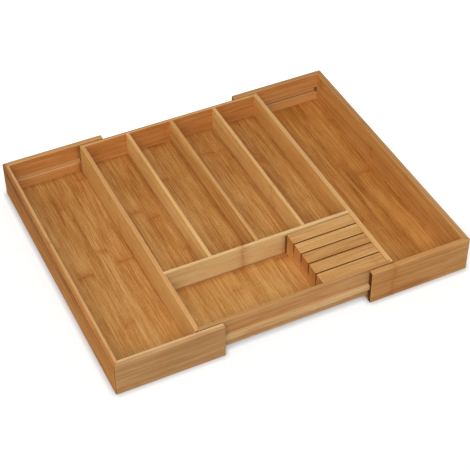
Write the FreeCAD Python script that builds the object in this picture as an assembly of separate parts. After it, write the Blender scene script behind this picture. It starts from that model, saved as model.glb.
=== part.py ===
import FreeCAD, Part
import os

# An expanding cutlery tray of glued bamboo boards. A central tray with compartments carries a rail
# on its front and on its rear, and two extension trays run on these rails, out to the left and right.
# A loose knife block stands in the front compartment.
# Millimetres. X is the way the extensions slide, Y runs from the front to the rear, Z is up.
# The origin is on the surface that the tray rests on, below the middle of the tray.

# The tray as it stands, part opened
tray_depth = 430.0              # over the front and rear boards of the extensions
shown_width = 520.0             # over the two end boards
shown_overlap = 37.5            # of the extension boards with the central tray, at each side
extension_height = 54.0

# Extension trays
extension_board = 8.0           # thickness of the end, front and rear boards
extension_floor_board = 3.5
extension_floor_lift = 2.0      # underside of the floor above the resting surface
extension_floor_tongue = 3.0    # of the floor in the grooves of the boards
extension_corner_round = 2.5
extension_edge_round = 1.2

# Central tray
central_end_board = 5.0         # thickness of the front and rear boards
central_side_board = 6.5
central_corner_lip = 3.0        # of the side boards, over the ends of the front and rear boards
central_floor_board = 5.0
central_floor_lift = 6.0        # underside of the floor above the lower edge of the boards
central_floor_tongue = 2.5
central_corner_round = 1.5
central_edge_round = 0.9

# Dividers
divider_board = 5.0
divider_housing = 2.0           # how deep a divider is let into the boards at its ends
divider_edge_round = 0.9
front_room = 105.5              # front compartment, from the front board to the cross divider
long_rooms = 4                  # compartments behind the cross divider

# Rails, and the room that lets the trays run
rail_height = 8.6
rail_middle = 24.5              # middle of the rails above the resting surface
rail_housing = 1.5              # how deep a rail is let into the central tray
rail_engagement = 3.0           # how far a rail reaches into its groove
rail_play = 0.8                 # from the rail to the bottom of its groove
rail_edge_round = 0.8
side_gap = 2.0                  # from the central boards to the extension boards
run_clearance = 0.4             # up and down, between what slides
closed_gap = 1.0                # from the end board to the central tray, pushed right in
meeting_gap = 1.0               # between the two extensions, both pushed right in

# Knife block
block_length = 95.7
block_height = 34.8
block_slots = 4
slot_width = 2.0
slot_depth = 24.0
block_front_gap = 0.5           # from the front board to the block
block_rear_gap = 1.5            # from the block to the cross divider
block_seat_gap = 0.3            # under the block, and at its right end
block_edge_round = 0.8

overrun = 5.0                   # how far a cutting shape passes the face that it cuts through

# Heights
extension_floor_top = extension_floor_lift + extension_floor_board
central_bottom = extension_floor_top + run_clearance
central_top = extension_height
central_floor_low = central_bottom + central_floor_lift
central_floor_top = central_floor_low + central_floor_board
rail_low = rail_middle - rail_height / 2
rail_high = rail_middle + rail_height / 2
block_low = central_floor_top + block_seat_gap
block_top = block_low + block_height

# Along the slide: pushed right in, an extension reaches from the middle to past the central tray's side.
# So the central tray follows from the width shown and from what overlaps in it.
central_width = shown_width / 2 + shown_overlap - closed_gap - extension_board + meeting_gap / 2
central_outer_x = central_width / 2
extension_length = central_outer_x + closed_gap + extension_board - meeting_gap / 2
end_outer_x = shown_width / 2
end_inner_x = end_outer_x - extension_board
free_end_x = end_outer_x - extension_length

# Across the tray, from its middle out to one side
extension_outer_y = tray_depth / 2
extension_inner_y = extension_outer_y - extension_board
central_outer_y = extension_inner_y - side_gap
central_inner_y = central_outer_y - central_end_board
central_inner_x = central_outer_x - central_side_board
central_lip_x = central_outer_x - central_corner_lip
cross_front_y = front_room - central_inner_y
cross_rear_y = cross_front_y + divider_board


# A box between two places on each axis, given in either order.
def board(x_places, y_places, z_places):
    low = [min(places) for places in (x_places, y_places, z_places)]
    high = [max(places) for places in (x_places, y_places, z_places)]
    size = [top - bottom for bottom, top in zip(low, high)]
    return Part.makeBox(*size, FreeCAD.Vector(*low))


# A level outline, carried up between two heights.
def prism(corners, z_places):
    low, high = z_places
    points = [FreeCAD.Vector(x, y, low) for x, y in corners]
    return Part.Face(Part.makePolygon(points + points[:1])).extrude(FreeCAD.Vector(0, 0, high - low))


def upright(edge):
    box = edge.BoundBox
    return box.ZLength > max(box.XLength, box.YLength)


def rounded(shape, radius, chosen):
    return shape.makeFillet(radius, [edge for edge in shape.Edges if chosen(edge)])


# Only the two long edges of a divider's rim, because its ends sit in housings.
def divider_rounded(shape):
    middle = shape.BoundBox.Center.z
    return rounded(shape, divider_edge_round,
                   lambda edge: edge.BoundBox.ZMin > middle and edge.Length > 2 * divider_board)


# The end, front and rear boards of the right extension as one U, eased after gluing.
def extension_frame():
    outside = board((free_end_x, end_outer_x), (-extension_outer_y, extension_outer_y), (0, extension_height))
    inside = board((free_end_x - overrun, end_inner_x), (-extension_inner_y, extension_inner_y),
                   (-overrun, extension_height + overrun))
    middle_x = (free_end_x + end_inner_x) / 2
    board_middle_x = (end_inner_x + end_outer_x) / 2
    frame = rounded(outside.cut(inside), extension_corner_round,
                    lambda edge: upright(edge) and edge.BoundBox.XMin > board_middle_x)
    return rounded(frame, extension_edge_round,
                   lambda edge: not upright(edge) or edge.BoundBox.XMax < middle_x)


# The groove in the inner face of a front or rear board, from its free end right through to the mitre.
def rail_groove(side):
    bottom_y = extension_inner_y + rail_engagement + rail_play
    return board((free_end_x - overrun, end_outer_x), (side * extension_inner_y, side * bottom_y),
                 (rail_low - run_clearance, rail_high + run_clearance))


# The U with its floor groove, taken apart at mitred corners.
def right_extension():
    height = (0, extension_height)
    floor_y = extension_inner_y + extension_floor_tongue
    floor = board((free_end_x, end_inner_x + extension_floor_tongue), (-floor_y, floor_y),
                  (extension_floor_lift, extension_floor_top))
    frame = extension_frame().cut(floor)
    inner_y, outer_y = extension_inner_y, extension_outer_y
    end_outline = [(end_inner_x, -inner_y), (end_outer_x, -outer_y), (end_outer_x, outer_y), (end_inner_x, inner_y)]
    pieces = {"floor": floor, "end_board": frame.common(prism(end_outline, height))}
    for side, name in ((-1, "front_board"), (1, "rear_board")):
        outline = [(free_end_x, side * inner_y), (end_inner_x, side * inner_y), (end_outer_x, side * outer_y),
                   (free_end_x, side * outer_y)]
        pieces[name] = frame.common(prism(outline, height)).cut(rail_groove(side))
    return pieces


# The four boards of the central tray as one ring, eased after gluing.
def central_frame():
    outside = board((-central_outer_x, central_outer_x), (-central_outer_y, central_outer_y),
                    (central_bottom, central_top))
    inside = board((-central_inner_x, central_inner_x), (-central_inner_y, central_inner_y),
                   (central_bottom - overrun, central_top + overrun))
    board_middle_x = (central_inner_x + central_outer_x) / 2
    frame = rounded(outside.cut(inside), central_corner_round,
                    lambda edge: upright(edge) and abs(edge.BoundBox.Center.x) > board_middle_x)
    return rounded(frame, central_edge_round, lambda edge: not upright(edge))


def rail(side):
    inner_y = central_outer_y - rail_housing
    outer_y = central_outer_y + side_gap + rail_engagement
    strip = board((-central_outer_x, central_outer_x), (side * inner_y, side * outer_y), (rail_low, rail_high))
    outer_half = (central_outer_y + outer_y) / 2
    return rounded(strip, rail_edge_round, lambda edge: side * edge.BoundBox.Center.y > outer_half)


def long_dividers():
    heights = (central_floor_top, central_top)
    y_places = (cross_rear_y - divider_housing, central_inner_y + divider_housing)
    room = (2 * central_inner_x - (long_rooms - 1) * divider_board) / long_rooms
    made = []
    for count in range(1, long_rooms):
        left = count * room + (count - 1) * divider_board - central_inner_x
        made.append(divider_rounded(board((left, left + divider_board), y_places, heights)))
    return made


def cross_divider(housed):
    end_x = central_inner_x + divider_housing
    cross = divider_rounded(board((-end_x, end_x), (cross_front_y, cross_rear_y), (central_floor_top, central_top)))
    for divider in housed:
        cross = cross.cut(divider)
    return cross


# The ring with every groove and housing cut, then taken apart at its corners.
def central_boards(let_in):
    height = (central_bottom, central_top)
    frame = central_frame()
    for piece in let_in:
        frame = frame.cut(piece)
    sides = {}
    for side, name in ((-1, "central_left_board"), (1, "central_right_board")):
        space = board((side * central_inner_x, side * central_outer_x), (-central_inner_y, central_inner_y), height)
        for end in (-1, 1):
            space = space.fuse(board((side * central_lip_x, side * central_outer_x),
                                     (end * central_inner_y, end * central_outer_y), height))
        sides[name] = frame.common(space)
    for end, name in ((-1, "central_front_board"), (1, "central_rear_board")):
        sides[name] = frame.common(board((-central_lip_x, central_lip_x),
                                         (end * central_inner_y, end * central_outer_y), height))
    return sides


def central_tray():
    floor_x = central_inner_x + central_floor_tongue
    floor_y = central_inner_y + central_floor_tongue
    floor = board((-floor_x, floor_x), (-floor_y, floor_y), (central_floor_low, central_floor_top))
    long_ones = long_dividers()
    cross = cross_divider(long_ones)
    front_rail, rear_rail = rail(-1), rail(1)
    pieces = central_boards([floor, cross, front_rail, rear_rail] + long_ones)
    pieces.update(central_floor=floor, cross_divider=cross, front_rail=front_rail, rear_rail=rear_rail)
    for count, divider in enumerate(long_ones, 1):
        pieces["long_divider_%d" % count] = divider
    return pieces


# A strip's rim, left square at the end that stands against the right board.
def strip_rounded(shape):
    middle = shape.BoundBox.Center
    return rounded(shape, block_edge_round,
                   lambda edge: edge.BoundBox.ZMin > middle.z and edge.BoundBox.XMin < middle.x)


# Full-height strips with low spacers glued between them, which leave the slots. Counted from the front.
def knife_block():
    right_x = central_inner_x - block_seat_gap
    x_places = (right_x - block_length, right_x)
    front_y = block_front_gap - central_inner_y
    depth = front_room - block_front_gap - block_rear_gap
    strip_width = (depth - block_slots * slot_width) / (block_slots + 1)
    pieces = {}
    for count in range(block_slots + 1):
        strip_y = front_y + count * (strip_width + slot_width)
        spacer_y = strip_y + strip_width
        strip = board(x_places, (strip_y, spacer_y), (block_low, block_top))
        pieces["knife_strip_%d" % (count + 1)] = strip_rounded(strip)
        if count < block_slots:
            pieces["knife_spacer_%d" % (count + 1)] = board(x_places, (spacer_y, spacer_y + slot_width),
                                                            (block_low, block_top - slot_depth))
    return pieces


def whole_tray():
    pieces = central_tray()
    for name, piece in right_extension().items():
        pieces["right_" + name] = piece
        pieces["left_" + name] = piece.mirror(FreeCAD.Vector(0, 0, 0), FreeCAD.Vector(1, 0, 0))
    pieces.update(knife_block())
    return pieces


os.makedirs("parts", exist_ok=True)
for name, piece in whole_tray().items():
    if len(piece.Solids) != 1:
        raise ValueError("%s came out as %d solids" % (name, len(piece.Solids)))
    piece.Solids[0].exportStep("parts/%s.step" % name)
    print("%-22s %9.1f mm3" % (name, piece.Volume))
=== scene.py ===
import math
import bpy
from mathutils import Matrix, Vector


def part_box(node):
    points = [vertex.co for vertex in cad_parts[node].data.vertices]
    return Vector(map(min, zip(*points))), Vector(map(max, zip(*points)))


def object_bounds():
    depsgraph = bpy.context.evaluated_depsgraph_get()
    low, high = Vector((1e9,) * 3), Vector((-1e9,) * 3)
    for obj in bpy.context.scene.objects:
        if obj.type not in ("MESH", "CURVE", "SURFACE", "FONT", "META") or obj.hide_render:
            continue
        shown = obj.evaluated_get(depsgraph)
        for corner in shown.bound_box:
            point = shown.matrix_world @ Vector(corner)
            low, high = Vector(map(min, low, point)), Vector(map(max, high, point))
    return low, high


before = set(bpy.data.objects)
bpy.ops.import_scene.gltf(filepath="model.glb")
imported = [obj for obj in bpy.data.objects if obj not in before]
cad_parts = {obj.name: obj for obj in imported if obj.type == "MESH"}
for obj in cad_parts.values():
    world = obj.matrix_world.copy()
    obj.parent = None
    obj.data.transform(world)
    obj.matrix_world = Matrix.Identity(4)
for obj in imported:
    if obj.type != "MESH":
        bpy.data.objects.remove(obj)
cadLow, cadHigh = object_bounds()
scene = bpy.context.scene
print("frame loaded:", len(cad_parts), "boards and strips")


# screen colour 0-255 to the linear colour that sockets take
def fromScreen(red, green, blue):
    parts = [channel / 255 for channel in (red, green, blue)]
    return tuple(p / 12.92 if p <= 0.04045 else ((p + 0.055) / 1.055) ** 2.4 for p in parts) + (1.0,)


def feed(tree, socket, value):
    if isinstance(value, bpy.types.NodeSocket):
        tree.links.new(value, socket)
    else:
        socket.default_value = value


def calc(tree, operation, *values):
    node = tree.nodes.new("ShaderNodeMath")
    node.operation = operation
    for socket, value in zip(node.inputs, values):
        feed(tree, socket, value)
    return node.outputs[0]


# one operation over any number of values
def chain(tree, operation, first, *others):
    for other in others:
        first = calc(tree, operation, first, other)
    return first


# 0 to 1 becomes a swing of this size about zero
def swing(tree, value, size):
    return calc(tree, "MULTIPLY", calc(tree, "SUBTRACT", value, 0.5), size)


def vectorCalc(tree, operation, *values):
    node = tree.nodes.new("ShaderNodeVectorMath")
    node.operation = operation
    for socket, value in zip(node.inputs, values):
        feed(tree, socket, value)
    return node.outputs["Value" if operation in ("DOT_PRODUCT", "LENGTH") else "Vector"]


# 0 at start, 1 at end, soft at both
def fade(tree, value, start, end):
    node = tree.nodes.new("ShaderNodeMapRange")
    node.interpolation_type = "SMOOTHSTEP"
    for label, number in (("Value", value), ("From Min", start), ("From Max", end)):
        feed(tree, node.inputs[label], number)
    return node.outputs["Result"]


def split(tree, vector):
    node = tree.nodes.new("ShaderNodeSeparateXYZ")
    feed(tree, node.inputs[0], vector)
    return node.outputs[0], node.outputs[1], node.outputs[2]


def join(tree, x, y, z):
    node = tree.nodes.new("ShaderNodeCombineXYZ")
    for socket, value in zip(node.inputs, (x, y, z)):
        feed(tree, socket, value)
    return node.outputs[0]


# stretch is the noise's scale along x, y and z
def cloud(tree, vector, stretch, detail=2.0, rough=0.5):
    node = tree.nodes.new("ShaderNodeTexNoise")
    feed(tree, node.inputs["Vector"], vectorCalc(tree, "MULTIPLY", vector, stretch))
    for label, number in (("Scale", 1.0), ("Detail", detail), ("Roughness", rough)):
        node.inputs[label].default_value = number
    return node.outputs["Fac"]


def dice(tree, first, second=0.0):
    node = tree.nodes.new("ShaderNodeTexWhiteNoise")
    node.noise_dimensions = "2D"
    feed(tree, node.inputs["Vector"], join(tree, first, second, 0.0))
    return node.outputs["Value"]


def blendColour(tree, amount, first, second):
    node = tree.nodes.new("ShaderNodeMix")
    node.data_type = "RGBA"
    for place, value in ((0, amount), (6, first), (7, second)):  # 6 and 7 are the colour sockets
        feed(tree, node.inputs[place], value)
    return node.outputs[2]


def mapped(tree, vector, turn=(0, 0, 0), move=(0, 0, 0)):
    node = tree.nodes.new("ShaderNodeMapping")
    tree.links.new(vector, node.inputs["Vector"])
    node.inputs["Rotation"].default_value = turn
    node.inputs["Location"].default_value = move
    return node.outputs[0]


# a group takes vectors and then plain numbers, and gives masks and values
def startGroup(name, vectors, numbers, gives):
    tree = bpy.data.node_groups.new(name, "ShaderNodeTree")
    sockets = (("INPUT", "Vector", vectors), ("INPUT", "Float", numbers), ("OUTPUT", "Float", gives))
    for way, kind, labels in sockets:
        for label in labels:
            tree.interface.new_socket(label, in_out=way, socket_type="NodeSocket" + kind)
    return tree, tree.nodes.new("NodeGroupInput").outputs, tree.nodes.new("NodeGroupOutput").inputs


def placeGroup(tree, group, **values):
    node = tree.nodes.new("ShaderNodeGroup")
    node.node_tree = group
    for label, value in values.items():
        feed(tree, node.inputs[label], value)
    return node.outputs


# In the looks, a noise has its stretch, its detail and at times its roughness, and a span is where a fade
# starts and ends. Lengths are in metres.
stripLook = {
    "unevenNoise": ((31.0, 1.0, 1.0), 1.0), "unevenSize": 1.6,  # lets the widths of the strips differ
    "seamSpan": (0.0006, 0.0001),
    "runSeed": 3.0, "straySize": 0.5, "leastStrength": 0.3,
    "raggedNoise": ((60.0, 140.0, 140.0), 2.0), "raggedSize": 0.012,
    "brokenNoise": ((160.0, 520.0, 520.0), 3.0), "brokenSpan": (0.32, 0.62),
    "knuckleSpan": (0.0045, 0.0), "haloSpan": (0.015, 0.001),
}


# Glued strips: x runs along the grain, y counts the strips. Each has its own tone and its own knuckles,
# the soft cross marks where the cane had a joint.
def makeStripGroup():
    tree, given, out = startGroup("bambooStrips", ("Vector",), ("Width", "Spacing", "Scatter", "Offset"),
                                  ("Tone", "Seam", "Knuckle", "Halo"))
    along, across = split(tree, given["Vector"])[:2]
    uneven = cloud(tree, join(tree, across, 0.0, 0.0), *stripLook["unevenNoise"])
    place = calc(tree, "ADD", calc(tree, "DIVIDE", across, given["Width"]),
                 calc(tree, "MULTIPLY", uneven, stripLook["unevenSize"]))
    strip = calc(tree, "FLOOR", place)
    inStrip = calc(tree, "FRACT", place)
    tree.links.new(dice(tree, strip), out["Tone"])
    toSeam = calc(tree, "MINIMUM", inStrip, calc(tree, "SUBTRACT", 1.0, inStrip))
    toSeam = calc(tree, "MULTIPLY", toSeam, given["Width"])
    tree.links.new(fade(tree, toSeam, *stripLook["seamSpan"]), out["Seam"])
    # each strip's own run of knuckles, uneven along its edge and broken up inside
    start = dice(tree, strip, stripLook["runSeed"])
    start = calc(tree, "MULTIPLY_ADD", start, given["Scatter"], given["Offset"])
    run = calc(tree, "ADD", calc(tree, "DIVIDE", along, given["Spacing"]), start)
    number = calc(tree, "FLOOR", run)
    off = calc(tree, "SUBTRACT", calc(tree, "FRACT", run), 0.5)
    stray = swing(tree, dice(tree, strip, number), stripLook["straySize"])
    stray = calc(tree, "MULTIPLY", stray, calc(tree, "MINIMUM", given["Scatter"], 1.0))
    away = calc(tree, "MULTIPLY", calc(tree, "SUBTRACT", off, stray), given["Spacing"])
    ragged = swing(tree, cloud(tree, given["Vector"], *stripLook["raggedNoise"]), stripLook["raggedSize"])
    away = calc(tree, "ABSOLUTE", calc(tree, "ADD", away, ragged))
    least = stripLook["leastStrength"]
    strength = calc(tree, "MULTIPLY_ADD", dice(tree, number, strip), 1 - least, least)
    broken = fade(tree, cloud(tree, given["Vector"], *stripLook["brokenNoise"]), *stripLook["brokenSpan"])
    knuckle = fade(tree, away, *stripLook["knuckleSpan"])
    tree.links.new(chain(tree, "MULTIPLY", knuckle, broken, strength), out["Knuckle"])
    halo = fade(tree, away, *stripLook["haloSpan"])
    tree.links.new(calc(tree, "MULTIPLY", halo, strength), out["Halo"])
    return tree


fibreLook = {
    "Fibre": (((13.0, 620.0, 620.0), 4.0, 0.6), (0.3, 0.7)),
    "Streak": (((6.0, 170.0, 170.0), 3.0, 0.55), (0.28, 0.72)),
    "Patch": (((11.0, 48.0, 48.0), 3.0), (0.28, 0.72)),
    "Pore": (((34.0, 1500.0, 1500.0), 1.0), (0.6, 0.72)),
}
swayLook = {"noise": ((70.0, 60.0, 60.0), 1.0), "size": 0.008}
fleckLook = {"lineNoise": ((36.0, 720.0, 720.0), 1.0), "lineShare": 0.55,
             "dotNoise": ((330.0, 820.0, 820.0), 1.0), "dotShare": 0.45, "span": (0.36, 0.64)}


# Fine fibres, broad streaks, soft patches, long dark pores and short flecks along the grain. Near a knuckle
# they sway.
def makeFibreGroup():
    tree, given, out = startGroup("bambooFibre", ("Vector",), ("Sway",), tuple(fibreLook) + ("Fleck",))
    sway = swing(tree, cloud(tree, given["Vector"], *swayLook["noise"]), swayLook["size"])
    bend = calc(tree, "MULTIPLY", sway, given["Sway"])
    bent = vectorCalc(tree, "ADD", given["Vector"], join(tree, 0.0, bend, bend))
    for label, (noise, span) in fibreLook.items():
        tree.links.new(fade(tree, cloud(tree, bent, *noise), *span), out[label])
    lines = calc(tree, "MULTIPLY", cloud(tree, bent, *fleckLook["lineNoise"]), fleckLook["lineShare"])
    dots = calc(tree, "MULTIPLY", cloud(tree, bent, *fleckLook["dotNoise"]), fleckLook["dotShare"])
    tree.links.new(fade(tree, calc(tree, "ADD", lines, dots), *fleckLook["span"]), out["Fleck"])
    return tree


faceLook = {"turnSpan": (0.45, 0.85), "wanderNoise": ((14.0, 14.0, 14.0), 2.0), "wanderSize": 0.8,
            "innerSpan": (-0.7, 0.6)}


# Which way a face looks: ends show cut fibres, and rims are the narrow edges of a board, whose own tint is
# partly painted light and shade. Inner grows over a rim towards the tray's middle, where Inward points, and
# paints one half of the rim lighter than the other, as painted highlight and shade. Inward is one over half
# the board's thickness long.
def makeFaceGroup():
    tree, given, out = startGroup("boardFaces", ("Normal", "Along", "Across", "Vector", "Inward"), (),
                                  ("End", "Rim", "Inner"))
    masks = {}
    for label, axis in (("End", "Along"), ("Rim", "Across")):
        facing = calc(tree, "ABSOLUTE", vectorCalc(tree, "DOT_PRODUCT", given["Normal"], given[axis]))
        masks[label] = fade(tree, facing, *faceLook["turnSpan"])
        tree.links.new(masks[label], out[label])
    depth = vectorCalc(tree, "DOT_PRODUCT", given["Vector"], given["Inward"])
    wander = swing(tree, cloud(tree, given["Vector"], *faceLook["wanderNoise"]), faceLook["wanderSize"])
    inner = fade(tree, calc(tree, "ADD", depth, wander), *faceLook["innerSpan"])
    tree.links.new(calc(tree, "MULTIPLY", masks["Rim"], inner), out["Inner"])
    return tree


mitreLook = {"lineSpan": (0.0012, 0.0003), "wholeSpan": (0.0152, 0.0142), "wholeShare": 0.45,
             "outsideSpan": (0.005, 0.002), "outsideShare": 0.55}


# The glue line of the mitred corners, a thin upright plane through each corner of the outline, and
# stronger near the outside.
def makeMitreGroup():
    tree, given, out = startGroup("mitreLine", ("Vector", "Outline"), (), ("Line",))
    inside = vectorCalc(tree, "SUBTRACT", given["Outline"], vectorCalc(tree, "ABSOLUTE", given["Vector"]))
    x, y = split(tree, inside)[:2]
    depth = calc(tree, "ADD", x, y)
    whole = calc(tree, "MULTIPLY", fade(tree, depth, *mitreLook["wholeSpan"]), mitreLook["wholeShare"])
    outside = calc(tree, "MULTIPLY", fade(tree, depth, *mitreLook["outsideSpan"]), mitreLook["outsideShare"])
    line = fade(tree, calc(tree, "ABSOLUTE", calc(tree, "SUBTRACT", x, y)), *mitreLook["lineSpan"])
    tree.links.new(calc(tree, "MULTIPLY", line, calc(tree, "ADD", whole, outside)), out["Line"])
    return tree


# measured from the corner between the groove's bottom and its ledge
grooveLook = {"middleDepth": -0.0018, "depthSpan": (0.0021, 0.0019),
              "middleHeight": 0.0047, "heightSpan": (0.0051, 0.0048),
              "closedFrom": (-0.0034, -0.0026), "closedTo": (0.0062, 0.0052), "cornerSpan": (0.0016, 0.0005)}


# A rail groove, painted paler inside as painted light that lifts its shade, with painted shade along the
# corner at its bottom and where the end board closes it. Groove holds the end's x, the bottom's y and the
# ledge's z.
def makeGrooveGroup():
    tree, given, out = startGroup("railGroove", ("Vector", "Groove"), (), ("GrooveLight", "GrooveShade"))
    off = vectorCalc(tree, "SUBTRACT", vectorCalc(tree, "ABSOLUTE", given["Vector"]), given["Groove"])
    x, y, z = split(tree, off)
    inDepth = calc(tree, "ABSOLUTE", calc(tree, "SUBTRACT", y, grooveLook["middleDepth"]))
    inHeight = calc(tree, "ABSOLUTE", calc(tree, "SUBTRACT", z, grooveLook["middleHeight"]))
    inside = calc(tree, "MULTIPLY", fade(tree, inDepth, *grooveLook["depthSpan"]),
                  fade(tree, inHeight, *grooveLook["heightSpan"]))
    tree.links.new(inside, out["GrooveLight"])
    closed = chain(tree, "MULTIPLY", fade(tree, x, *grooveLook["closedFrom"]),
                   fade(tree, x, *grooveLook["closedTo"]), inside)
    corner = calc(tree, "ADD", calc(tree, "MULTIPLY", y, y), calc(tree, "MULTIPLY", z, z))
    corner = fade(tree, calc(tree, "SQRT", corner), *grooveLook["cornerSpan"])
    tree.links.new(calc(tree, "MAXIMUM", corner, closed), out["GrooveShade"])
    return tree


slotLook = {"depthSpan": (0.026, 0.012), "reach": 0.0002, "endReach": 0.0011}


# Dust and shade in the knife slots: on a strip's sides, and along them on its rim and further on its ends,
# down to the slot's bottom.
def makeSlotGroup():
    tree, given, out = startGroup("slotMouth", ("Vector", "Half"), ("End",), ("Mouth",))
    inside = vectorCalc(tree, "SUBTRACT", given["Half"], vectorCalc(tree, "ABSOLUTE", given["Vector"]))
    reach = calc(tree, "MULTIPLY_ADD", given["End"], slotLook["endReach"], slotLook["reach"])
    side = fade(tree, split(tree, inside)[1], reach, 0.0)
    toTop = split(tree, vectorCalc(tree, "SUBTRACT", given["Half"], given["Vector"]))[2]
    tree.links.new(calc(tree, "MULTIPLY", side, fade(tree, toTop, *slotLook["depthSpan"])), out["Mouth"])
    return tree


cornerLook = {"crossHalf": 0.0025, "span": (0.011, 0.0)}


# Shade on a floor along the walls and dividers that stand on it. Left, Pitch and Room give the long
# compartments, Depth reaches from the middle to the walls, and Cross is the cross divider's place.
def makeCornerGroup():
    tree, given, out = startGroup("floorCorners", ("Vector",), ("Left", "Pitch", "Room", "Depth", "Cross"),
                                  ("Corner",))
    x, y = split(tree, given["Vector"])[:2]
    steps = calc(tree, "DIVIDE", calc(tree, "SUBTRACT", x, given["Left"]), given["Pitch"])
    place = calc(tree, "MULTIPLY", calc(tree, "FRACT", steps), given["Pitch"])
    toSides = calc(tree, "MINIMUM", place, calc(tree, "SUBTRACT", given["Room"], place))
    # no long dividers in front of the cross divider
    toSides = calc(tree, "ADD", toSides, calc(tree, "LESS_THAN", y, given["Cross"]))
    toCross = calc(tree, "ABSOLUTE", calc(tree, "SUBTRACT", y, given["Cross"]))
    toCross = calc(tree, "SUBTRACT", toCross, cornerLook["crossHalf"])
    toEnds = calc(tree, "SUBTRACT", given["Depth"], calc(tree, "ABSOLUTE", y))
    near = chain(tree, "MINIMUM", toSides, toCross, toEnds)
    tree.links.new(fade(tree, near, *cornerLook["span"]), out["Corner"])
    return tree


contactShadeLook = {"lineSpan": (0.0026, 0.001), "softSpan": (0.01, 0.001), "softShare": 0.4,
            "faceSpan": (0.003, 0.001), "topSpan": (0.0, -0.003)}


# The upright line of painted shade on a board where another piece's corner meets it, with softer painted
# shade beside it. Corner is the top of that line.
def makeContactShadeGroup():
    tree, given, out = startGroup("cornerContactShade", ("Vector", "Corner"), (), ("ContactShade",))
    x, y, z = split(tree, vectorCalc(tree, "SUBTRACT", given["Vector"], given["Corner"]))
    off = calc(tree, "ABSOLUTE", x)
    soft = calc(tree, "MULTIPLY", fade(tree, off, *contactShadeLook["softSpan"]), contactShadeLook["softShare"])
    line = calc(tree, "MAXIMUM", fade(tree, off, *contactShadeLook["lineSpan"]), soft)
    face = fade(tree, calc(tree, "ABSOLUTE", y), *contactShadeLook["faceSpan"])
    below = fade(tree, z, *contactShadeLook["topSpan"])
    tree.links.new(chain(tree, "MULTIPLY", line, face, below), out["ContactShade"])
    return tree


wearLook = {"patchNoise": ((55.0, 55.0, 55.0), 3.0), "patchSize": 1.6, "least": 0.2}


# Rubbed edges of a board, from the distance to the second nearest side of its box.
def makeWearGroup():
    tree, given, out = startGroup("edgeWear", ("Vector", "Half"), ("Reach",), ("Edge",))
    inside = vectorCalc(tree, "SUBTRACT", given["Half"], vectorCalc(tree, "ABSOLUTE", given["Vector"]))
    sides = split(tree, inside)
    others = calc(tree, "ADD", chain(tree, "MINIMUM", *sides), chain(tree, "MAXIMUM", *sides))
    second = calc(tree, "SUBTRACT", chain(tree, "ADD", *sides), others)
    patchy = calc(tree, "MULTIPLY_ADD", cloud(tree, given["Vector"], *wearLook["patchNoise"]),
                  wearLook["patchSize"], wearLook["least"])
    tree.links.new(fade(tree, second, calc(tree, "MULTIPLY", given["Reach"], patchy), 0.0), out["Edge"])
    return tree


# what each mark adds to the roughness and to the height
lacquerLook = {
    "Roughness": {"Fibre": 0.1, "Pore": 0.15, "Edge": -0.06, "Knuckle": 0.1},
    "Height": {"Fibre": 0.5, "Pore": -0.5, "Seam": -0.8, "Knuckle": 0.7},
}


# Satin lacquer over the fibres: how rough and how high the surface is.
def makeLacquerGroup():
    tree, given, out = startGroup("satinLacquer", (), ("Base", "Fibre", "Pore", "Seam", "Knuckle", "Edge"),
                                  tuple(lacquerLook))
    for label, level in (("Roughness", given["Base"]), ("Height", 0.0)):
        for mark, amount in lacquerLook[label].items():
            level = calc(tree, "MULTIPLY_ADD", given[mark], amount, level)
        tree.links.new(level, out[label])
    return tree


stripGroup = makeStripGroup()
fibreGroup = makeFibreGroup()
faceGroup = makeFaceGroup()
mitreGroup = makeMitreGroup()
grooveGroup = makeGrooveGroup()
slotGroup = makeSlotGroup()
cornerGroup = makeCornerGroup()
contactShadeGroup = makeContactShadeGroup()
wearGroup = makeWearGroup()
lacquerGroup = makeLacquerGroup()
print("shader groups built")

# rows: along the grain, across the strips, through the board
grainTurns = {
    "uprightX": ((1, 0, 0), (0, 0, 1), (0, -1, 0)),
    "uprightY": ((0, 1, 0), (0, 0, 1), (1, 0, 0)),
    "flatY": ((0, 1, 0), (-1, 0, 0), (0, 0, 1)),
}
patternStep = (0.37, 0.61, 0.23)  # from one piece's pattern to the next one's
calmSpan = (0.05, 0.12)  # towards the front, where a floor is plainer
bumpLook = {"Strength": 0.5, "Distance": 0.0003}
# the layers over the plain bamboo, from the lowest up, and the colour of the finish that each takes
layerTints = {
    "rim": "rim", "inner": "inner", "halo": "halo", "knuckle": "knuckle", "seam": "dark", "pore": "knuckle",
    "end": "end", "edge": "edge", "mouth": "mouth", "mitre": "side", "cut": "edge", "grime": "side",
    "contactShade": "side", "corner": "shade", "base": "shade", "rear": "dark",
}


# 0 is the dark colour of the finish, 1 the light one
def bambooTone(tree, finish, lift, half, boxPlace, plainPlace, strips, fibres):
    depth = finish["stripDepth"]
    tone = calc(tree, "MULTIPLY_ADD", strips["Tone"], depth, 0.5 + lift - depth / 2)
    calm = 1.0
    if finish["frontCalm"]:
        ahead = vectorCalc(tree, "DOT_PRODUCT", plainPlace, (0, -1, 0))
        calm = calc(tree, "MULTIPLY_ADD", fade(tree, ahead, *calmSpan), -finish["frontCalm"], 1.0)
    for label in ("Streak", "Fibre", "Patch", "Fleck"):
        more = swing(tree, fibres[label], finish[label.lower() + "Depth"])
        tone = calc(tree, "MULTIPLY_ADD", more, calm, tone)
    slope = Vector([step / length for step, length in zip(finish["toneSlope"], half)])
    return calc(tree, "ADD", tone, vectorCalc(tree, "DOT_PRODUCT", boxPlace, slope))


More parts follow.
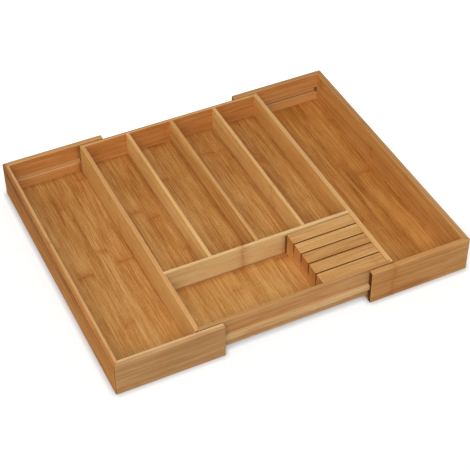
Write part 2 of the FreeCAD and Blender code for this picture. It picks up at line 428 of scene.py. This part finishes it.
# the marks that only some boards have
def boardMarks(tree, finish, half, boxPlace, plainPlace, faces):
    masks = {}
    if finish["mouthAmount"]:
        masks["mouth"] = placeGroup(tree, slotGroup, Vector=boxPlace, Half=half, End=faces["End"])["Mouth"]
    if finish["mitreAmount"]:
        masks["mitre"] = placeGroup(tree, mitreGroup, Vector=plainPlace, Outline=cadHigh)["Line"]
    # painted light inside a rail groove, and painted shade in its bottom corner and at its closed end
    if finish["cutAmount"] or finish["grimeAmount"]:
        groove = placeGroup(tree, grooveGroup, Vector=plainPlace, Groove=finish["groove"])
        masks.update(cut=groove["GrooveLight"], grime=groove["GrooveShade"])
    # painted shade in a line where another piece's corner meets the board
    if finish["contactShadeAmount"]:
        masks["contactShade"] = placeGroup(tree, contactShadeGroup, Vector=plainPlace, Corner=finish["contactShadeCorner"])["ContactShade"]
    if finish["cornerAmount"]:
        masks["corner"] = placeGroup(tree, cornerGroup, Vector=plainPlace, **finish["rooms"])["Corner"]
    # painted shade: a thin dark line at the foot where a board meets the floor; on the knife strips a pale
    # tint instead, painted light from the floor, up their lower part
    if finish["baseAmount"]:
        up = vectorCalc(tree, "DOT_PRODUCT", boxPlace, (0, 0, 1))
        base = fade(tree, up, finish["baseReach"] - half.z, -half.z)
        masks["base"] = calc(tree, "POWER", base, finish["basePower"])
    # painted shade and sheen: a rim darker towards the back of its board and paler towards the front
    if finish["rearAmount"]:
        back = vectorCalc(tree, "DOT_PRODUCT", boxPlace, (0, 1, 0))
        masks["rear"] = calc(tree, "MULTIPLY", faces["Rim"], fade(tree, back, -half.y, half.y))
    return masks


def bambooMaterial(name, finish, grain, lift, shift):
    low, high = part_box(name)
    middle, half = (low + high) / 2, (high - low) / 2
    along, across, through = (Vector(row) for row in grainTurns[grain])
    turn = Matrix(grainTurns[grain])
    made = bpy.data.materials.new(name + "Bamboo")
    made.use_nodes = True
    tree = made.node_tree
    tree.nodes.clear()
    where = tree.nodes.new("ShaderNodeTexCoord").outputs
    move = Vector(patternStep) * shift - turn @ middle
    grainPlace = mapped(tree, where["Object"], turn.to_euler(), move)
    boxPlace = mapped(tree, where["Object"], move=-middle)
    plainPlace = mapped(tree, where["Object"])

    spacing = finish["knuckleSpacing"]
    offset = finish["knuckleOffset"] - patternStep[0] * shift / spacing
    strips = placeGroup(tree, stripGroup, Vector=grainPlace, Width=finish["stripWidth"], Spacing=spacing,
                        Scatter=finish["knuckleScatter"], Offset=offset)
    fibres = placeGroup(tree, fibreGroup, Vector=grainPlace, Sway=strips["Halo"])
    inward = through * (-1 if through.dot(middle) > 0 else 1) / abs(through.dot(half))
    faces = placeGroup(tree, faceGroup, Normal=where["Normal"], Along=along, Across=across, Vector=boxPlace,
                       Inward=inward)
    wear = placeGroup(tree, wearGroup, Vector=boxPlace, Half=half, Reach=finish["edgeReach"])

    ramp = tree.nodes.new("ShaderNodeValToRGB")
    tone = bambooTone(tree, finish, lift, half, boxPlace, plainPlace, strips, fibres)
    tree.links.new(tone, ramp.inputs[0])
    stops = ramp.color_ramp.elements
    stops[0].color, stops[1].color = fromScreen(*finish["dark"]), fromScreen(*finish["light"])
    stops.new(0.5).color = fromScreen(*finish["middle"])

    colour = ramp.outputs[0]
    masks = {"rim": faces["Rim"], "inner": faces["Inner"], "end": faces["End"], "edge": wear["Edge"],
             "halo": strips["Halo"], "knuckle": strips["Knuckle"], "seam": strips["Seam"],
             "pore": fibres["Pore"]}
    masks.update(boardMarks(tree, finish, half, boxPlace, plainPlace, faces))
    for layer, tint in layerTints.items():
        amount = finish[layer + "Amount"]
        if amount:
            mask = calc(tree, "MULTIPLY", masks[layer], amount)
            colour = blendColour(tree, mask, colour, fromScreen(*finish[tint]))

    lacquer = placeGroup(tree, lacquerGroup, Base=finish["roughness"], Fibre=fibres["Fibre"],
                         Pore=fibres["Pore"], Seam=strips["Seam"], Knuckle=strips["Knuckle"],
                         Edge=wear["Edge"])
    bump = tree.nodes.new("ShaderNodeBump")
    for label, number in bumpLook.items():
        bump.inputs[label].default_value = number
    tree.links.new(lacquer["Height"], bump.inputs["Height"])

    surface = tree.nodes.new("ShaderNodeBsdfPrincipled")
    surface.inputs["Specular IOR Level"].default_value = finish["shine"]
    tree.links.new(colour, surface.inputs["Base Color"])
    tree.links.new(lacquer["Roughness"], surface.inputs["Roughness"])
    tree.links.new(bump.outputs[0], surface.inputs["Normal"])
    result = tree.nodes.new("ShaderNodeOutputMaterial")
    tree.links.new(surface.outputs[0], result.inputs["Surface"])
    return made


def dress(name, finish, grain, lift, shift):
    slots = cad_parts[name].data.materials
    slots.clear()
    slots.append(bambooMaterial(name, finish, grain, lift, shift))


# screen colours, lengths in metres, and amounts from 0 to 1
wallFinish = {
    "dark": (147, 95, 53), "middle": (179, 128, 77), "light": (200, 157, 107),
    "rim": (184, 132, 80), "inner": (196, 146, 92), "halo": (174, 104, 46), "knuckle": (112, 62, 28),
    "end": (112, 64, 32), "side": (72, 38, 18), "edge": (214, 172, 116), "mouth": (112, 54, 14),
    "shade": (124, 64, 20),
    "stripWidth": 0.027, "stripDepth": 0.16, "streakDepth": 0.3, "fibreDepth": 0.2, "patchDepth": 0.2,
    "fleckDepth": 0.12, "frontCalm": 0.0, "toneSlope": (0.0, 0.0, 0.0),
    "knuckleSpacing": 0.3, "knuckleScatter": 9.0, "knuckleOffset": 0.0,
    "rimAmount": 0.5, "innerAmount": 0.5, "haloAmount": 0.25, "knuckleAmount": 0.3, "seamAmount": 0.06,
    "poreAmount": 0.25, "endAmount": 0.75, "mouthAmount": 0.0, "edgeAmount": 0.25, "mitreAmount": 0.0,
    "cutAmount": 0.0, "grimeAmount": 0.0, "contactShadeAmount": 0.0, "cornerAmount": 0.0, "baseAmount": 0.0,
    "rearAmount": 0.0, "baseReach": 0.007, "basePower": 4.0, "edgeReach": 0.0016, "roughness": 0.42,
    "shine": 0.07,
}
# the boards of the extensions
extensionFinish = dict(wallFinish, mitreAmount=0.8, groove=(0.252, 0.2108, 0.0198))
leftFrontFinish = dict(
    extensionFinish, dark=(143, 98, 57), middle=(170, 127, 80), light=(192, 153, 106), rim=(171, 133, 90),
    inner=(212, 177, 131), innerAmount=0.8, cutAmount=0.4, grimeAmount=0.7, end=(104, 60, 30), endAmount=0.8)
# the right front board's end, which faces away from the light, is near black: dark end grain and painted
# shade
rightFrontFinish = dict(
    leftFrontFinish, dark=(146, 92, 48), middle=(178, 125, 72), light=(194, 148, 95), rim=(187, 138, 84),
    inner=(183, 130, 76), end=(72, 34, 12), endAmount=0.92, shine=0.01, stripWidth=0.3, stripDepth=0.0,
    streakDepth=0.4, patchDepth=0.3, knuckleScatter=0.0, knuckleOffset=0.5 + 0.042 / 0.3, knuckleAmount=0.5,
    haloAmount=0.35, toneSlope=(0.0, 0.0, 0.14))
# the rear boards are lighter towards the bottom, painted light that lifts the shade low on their inner faces
rearFinish = dict(
    leftFrontFinish, dark=(150, 92, 44), middle=(184, 122, 64), light=(204, 150, 90), rim=(190, 150, 102),
    inner=(194, 148, 94), innerAmount=0.6, side=(112, 56, 18), shine=0.02, toneSlope=(0.0, 0.0, -0.26))
rightRearFinish = dict(rearFinish, rim=(166, 130, 88), inner=(172, 128, 78))
# the left rear board has painted shade where the central tray's corner meets it, and a paler painted groove
leftRearFinish = dict(
    rearFinish, side=(90, 42, 12), grimeAmount=0.3, cutAmount=0.6, contactShadeCorner=(-0.1462, 0.207, 0.053),
    contactShadeAmount=0.45)
# the left end board is darker towards the back and the top, painted shade and sheen, and its dark colours
# are partly painted shade on its outside; it has painted shade where the rail groove ends against it
leftEndFinish = dict(
    extensionFinish, dark=(131, 75, 32), middle=(168, 107, 49), light=(191, 133, 70), rim=(159, 105, 57),
    inner=(203, 158, 106), innerAmount=0.85, shine=0.005, streakDepth=0.7, stripDepth=0.35, stripWidth=0.02,
    toneSlope=(0.0, -0.2, -0.26), grimeAmount=0.9)
rightEndFinish = dict(
    leftEndFinish, dark=(142, 84, 37), middle=(181, 120, 59), light=(203, 147, 83), rim=(174, 142, 104),
    inner=(170, 126, 77), streakDepth=0.4, toneSlope=(0.0, 0.0, -0.05), rearAmount=0.3)
# the boards of the central tray
frontBoardFinish = dict(
    wallFinish, rim=(166, 118, 70), rimAmount=0.6, inner=(178, 132, 82), innerAmount=0.6, streakDepth=0.4,
    toneSlope=(0.0, 0.0, -0.2))
rearBoardFinish = dict(
    wallFinish, dark=(150, 90, 42), middle=(183, 121, 63), light=(205, 150, 90), rim=(152, 108, 64),
    rimAmount=0.8, inner=(206, 154, 98), innerAmount=0.9)
sideFinish = dict(
    wallFinish, dark=(179, 120, 60), middle=(208, 153, 85), light=(222, 175, 108), rim=(208, 160, 100),
    inner=(214, 168, 110), rimAmount=0.3, knuckleAmount=0.12, haloAmount=0.15, rearAmount=0.15)
rightSideFinish = dict(sideFinish, rim=(206, 166, 112), rimAmount=0.6, inner=(190, 148, 96), innerAmount=0.6)
leftSideFinish = dict(
    sideFinish, rim=(184, 134, 82), rimAmount=0.6, inner=(192, 146, 96), innerAmount=0.6, edgeAmount=0.1)
dividerFinish = dict(
    sideFinish, dark=(183, 126, 65), middle=(214, 163, 95), light=(228, 185, 120), rim=(198, 155, 102),
    inner=(201, 161, 110), streakDepth=0.45, patchDepth=0.35, baseAmount=0.45)
darkDividerFinish = dict(
    dividerFinish, rim=(184, 132, 78), rimAmount=0.6, inner=(184, 132, 78), innerAmount=0.6)
# the cross divider has painted shade beside the knife block's corner and a painted dark line of shade at its
# foot
crossFinish = dict(
    sideFinish, dark=(184, 139, 83), middle=(209, 173, 118), light=(221, 190, 138), rim=(214, 175, 126),
    inner=(218, 181, 133), halo=(160, 94, 40), side=(98, 44, 8), stripWidth=0.3, knuckleScatter=0.0,
    knuckleOffset=0.5 + 0.024 / 0.3, knuckleAmount=1.0, haloAmount=0.75, streakDepth=0.2, patchDepth=0.3,
    contactShadeCorner=(0.0416, -0.0945, 0.0515), contactShadeAmount=0.9, baseAmount=0.7, rearAmount=0.0, shine=0.02)
railFinish = dict(
    sideFinish, dark=(175, 128, 80), middle=(198, 158, 107), light=(211, 178, 131), rim=(186, 152, 106),
    inner=(182, 148, 104), rimAmount=0.7, innerAmount=0.7, edgeAmount=0.1, stripWidth=0.012, streakDepth=0.6,
    patchDepth=0.6)
# the floors, with the rooms that the walls and dividers make on them
# the floors are lighter towards the front, painted sheen
floorFinish = dict(
    wallFinish, dark=(147, 90, 39), middle=(182, 128, 67), light=(207, 160, 99), stripWidth=0.021,
    stripDepth=0.22, streakDepth=0.2, fibreDepth=0.46, patchDepth=0.3, fleckDepth=0.3, frontCalm=0.1,
    cornerAmount=0.4, rooms=dict(Left=-0.138, Pitch=0.07025, Room=0.06525, Depth=0.2, Cross=-0.092),
    toneSlope=(0.0, -0.1, 0.0), rimAmount=0.0, innerAmount=0.0, edgeAmount=0.1, knuckleSpacing=0.24,
    knuckleAmount=0.4, haloAmount=0.5, seamAmount=0.15, patternShift=47)
openRoom = dict(Pitch=1.0, Room=1.0, Depth=0.207, Cross=-9.0)  # one room, and no cross divider
leftFloorFinish = dict(floorFinish, frontCalm=0.15, rooms=dict(openRoom, Left=-0.252), patternShift=37)
rightFloorFinish = dict(
    floorFinish, dark=(140, 81, 30), middle=(180, 119, 55), light=(202, 146, 79), stripDepth=0.24,
    cornerAmount=0.2, rooms=dict(openRoom, Left=-0.748), toneSlope=(0.0, 0.0, 0.0), patternShift=44)
# the knife block
# the knife strips are lighter towards the bottom, painted light thrown up from the floor, and carry painted
# shade in their slots
knifeFinish = dict(
    wallFinish, dark=(155, 102, 53), middle=(187, 138, 83), light=(206, 165, 108), rim=(194, 146, 90),
    inner=(198, 152, 96), end=(180, 102, 40), shade=(212, 150, 84), rimAmount=0.2, innerAmount=0.1,
    endAmount=0.6, mouthAmount=0.85, edgeAmount=0.1, stripWidth=0.02, streakDepth=0.6, fibreDepth=0.4,
    fleckDepth=0.25, baseAmount=0.6, baseReach=0.024, basePower=1.0, shine=0.02,
    toneSlope=(0.0, 0.0, -0.25))
# the spacers are dark where they form the slots' bottoms, painted shade, and paler at their ends
spacerFinish = dict(
    knifeFinish, dark=(84, 46, 22), middle=(110, 64, 32), light=(136, 84, 44), end=(196, 128, 64),
    endAmount=0.95, rimAmount=0.0, innerAmount=0.0, mouthAmount=0.0, baseAmount=0.0,
    toneSlope=(0.0, 0.0, 0.0))
knifeLifts = (0.33, 0.1, 0.04, 0.42, 0.38)

# each piece with how much its tone is lifted
dressing = (
    (leftFrontFinish, "uprightX", {"left_front_board": 0.0}),
    (leftRearFinish, "uprightX", {"left_rear_board": 0.07}),
    (rightRearFinish, "uprightX", {"right_rear_board": 0.34}),
    (rightFrontFinish, "uprightX", {"right_front_board": 0.12}),
    (frontBoardFinish, "uprightX", {"central_front_board": 0.05}),
    (rearBoardFinish, "uprightX", {"central_rear_board": 0.08}),
    (leftEndFinish, "uprightY", {"left_end_board": 0.0}),
    (rightEndFinish, "uprightY", {"right_end_board": 0.4}),
    (leftSideFinish, "uprightY", {"central_left_board": 0.15}),
    (rightSideFinish, "uprightY", {"central_right_board": 0.0}),
    (crossFinish, "uprightX", {"cross_divider": 0.0}),
    (dividerFinish, "uprightY", {"long_divider_1": 0.26}),
    (darkDividerFinish, "uprightY", {"long_divider_2": -0.12}),
    (dividerFinish, "uprightY", {"long_divider_3": 0.12}),
    (railFinish, "uprightX", {"front_rail": 0.0, "rear_rail": 0.0}),
    (floorFinish, "flatY", {"central_floor": 0.04}),
    (leftFloorFinish, "flatY", {"left_floor": 0.02}),
    (rightFloorFinish, "flatY", {"right_floor": 0.0}),
    (knifeFinish, "uprightX", {"knife_strip_%d" % count: lift for count, lift in enumerate(knifeLifts, 1)}),
    (spacerFinish, "uprightX", {"knife_spacer_%d" % count: 0.0 for count in range(1, len(knifeLifts))}),
)
shift = 0
for finish, grain, pieces in dressing:
    for name, lift in pieces.items():
        shift += 1
        dress(name, finish, grain, lift, finish.get("patternShift", shift))
print("bamboo on", shift, "pieces")


# 1 for what the camera sees, also in a gloss or through glass
def seenRay(tree):
    path = tree.nodes.new("ShaderNodeLightPath").outputs
    return chain(tree, "MAXIMUM", path["Is Camera Ray"], path["Is Glossy Ray"], path["Is Transmission Ray"])


paperLook = {
    "size": 12.0, "place": (0, 0, -0.0003), "colour": (188, 188, 188), "roughness": 0.9, "shine": 0.1,
    "nearGlow": 0.52, "glowSlope": (0.113, 0.172, 0.0), "slopeLimit": 0.1,
    "behindWay": (0.55, 0.83, 0.0), "behindSpan": (0.02, 0.16), "behindGlow": 0.25,
    "farSpan": (0.45, 0.9), "farGlow": 0.4,
    "contactReach": 0.0085, "contactSamples": 16, "contactPower": 2.0,
}


# white paper that keeps the tray's shadow
def paleFloor():
    bpy.ops.mesh.primitive_plane_add(size=paperLook["size"], location=paperLook["place"])
    floor = bpy.context.object
    floor.name = "studioFloor"
    made = bpy.data.materials.new("studioPaper")
    made.use_nodes = True
    tree = made.node_tree
    surface = tree.nodes["Principled BSDF"]
    surface.inputs["Base Color"].default_value = fromScreen(*paperLook["colour"])
    surface.inputs["Roughness"].default_value = paperLook["roughness"]
    surface.inputs["Specular IOR Level"].default_value = paperLook["shine"]
    surface.inputs["Emission Color"].default_value = (1, 1, 1, 1)
    place = mapped(tree, tree.nodes.new("ShaderNodeTexCoord").outputs["Object"])
    # as much as the lamps leave the paper short of white, and more behind the tray and far away
    limit = paperLook["slopeLimit"]
    slope = calc(tree, "MINIMUM", vectorCalc(tree, "DOT_PRODUCT", place, paperLook["glowSlope"]), limit)
    glow = calc(tree, "ADD", calc(tree, "MAXIMUM", slope, -limit), paperLook["nearGlow"])
    behind = vectorCalc(tree, "DOT_PRODUCT", place, paperLook["behindWay"])
    far = vectorCalc(tree, "LENGTH", place)
    for label, distance in (("behind", behind), ("far", far)):
        mask = fade(tree, distance, *paperLook[label + "Span"])
        glow = calc(tree, "MULTIPLY_ADD", mask, paperLook[label + "Glow"], glow)
    contact = tree.nodes.new("ShaderNodeAmbientOcclusion")
    contact.samples = paperLook["contactSamples"]
    contact.inputs["Distance"].default_value = paperLook["contactReach"]
    shade = calc(tree, "POWER", contact.outputs["AO"], paperLook["contactPower"])
    tree.links.new(chain(tree, "MULTIPLY", glow, shade, seenRay(tree)), surface.inputs["Emission Strength"])
    floor.data.materials.append(made)


worldLook = {"light": 0.4}


# white to the camera, and an even light on the tray
def whiteWorld():
    world = bpy.data.worlds.new("studioWorld")
    world.use_nodes = True
    tree = world.node_tree
    back = tree.nodes["Background"]
    back.inputs["Color"].default_value = (1, 1, 1, 1)
    strength = calc(tree, "MULTIPLY_ADD", seenRay(tree), 1 - worldLook["light"], worldLook["light"])
    tree.links.new(strength, back.inputs["Strength"])
    scene.world = world


# a broad lamp beside the camera, and softer ones from the left and behind
lampLook = {
    "keyBox": {"power": 47.0, "size": 1.6, "place": (-0.68, -1.45, 1.9)},
    "leftBox": {"power": 15.5, "size": 1.6, "place": (-2.0, -0.9, 1.2)},
    "backBox": {"power": 12.0, "size": 1.6, "place": (1.5, 1.9, 0.9)},
}


def softBox(name, power, size, place):
    lamp = bpy.data.lights.new(name, "AREA")
    lamp.energy = power
    lamp.size = size
    holder = bpy.data.objects.new(name, lamp)
    holder.location = place
    holder.rotation_euler = (-Vector(place)).to_track_quat("-Z", "Y").to_euler()
    scene.collection.objects.link(holder)


paleFloor()
whiteWorld()
for name, look in lampLook.items():
    softBox(name, **look)

cameraLook = {"lens": 102.07, "sensor": 36.0, "place": (-0.59054, -1.25794, 1.2943),
              "turn": (46.764, 0.249, -25.727)}
eye = bpy.data.cameras.new("photoCamera")
eye.lens = cameraLook["lens"]
eye.sensor_width = cameraLook["sensor"]
eye.dof.use_dof = False
stand = bpy.data.objects.new("photoCamera", eye)
stand.location = cameraLook["place"]
stand.rotation_euler = [math.radians(angle) for angle in cameraLook["turn"]]
scene.collection.objects.link(stand)
scene.camera = stand
scene.view_settings.view_transform = "Standard"
print("studio and camera set")
